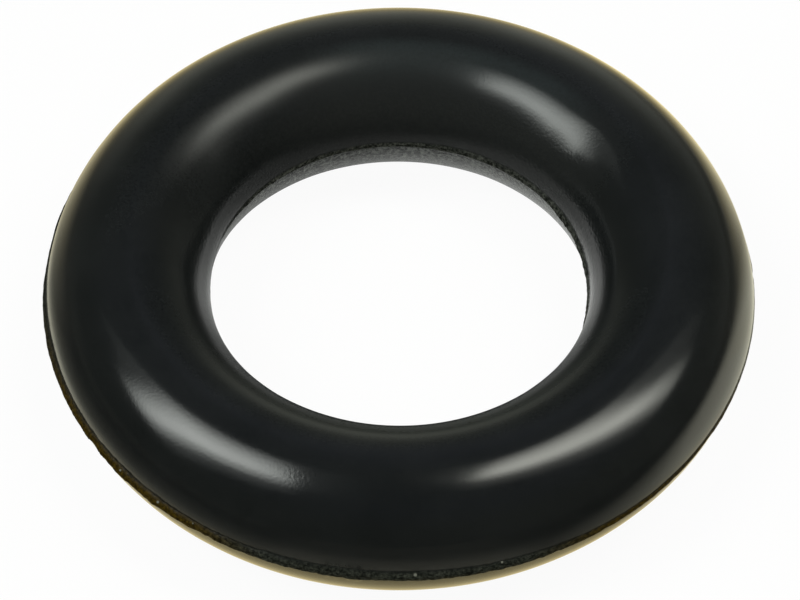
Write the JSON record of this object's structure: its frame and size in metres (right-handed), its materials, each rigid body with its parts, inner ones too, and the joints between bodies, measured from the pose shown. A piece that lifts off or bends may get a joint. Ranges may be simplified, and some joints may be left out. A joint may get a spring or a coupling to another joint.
{
  "type": "o-ring",
  "caption": "Black rubber sealing ring of round section, with a low ridge of moulding flash round its inner and outer parting line.",
  "frame": {"origin": "centre of the ring, on the parting plane where the mould's halves met", "axes": "+Z along the ring's axis; the ring is round about Z, so +X and +Y may point anywhere in the parting plane"},
  "size_m": [0.0112, 0.0112, 0.0024],
  "materials": {
    "rubber": "satin"
  },
  "bodies": {
    "root": {"o_ring": "rubber"}
  },
  "joints": []
}
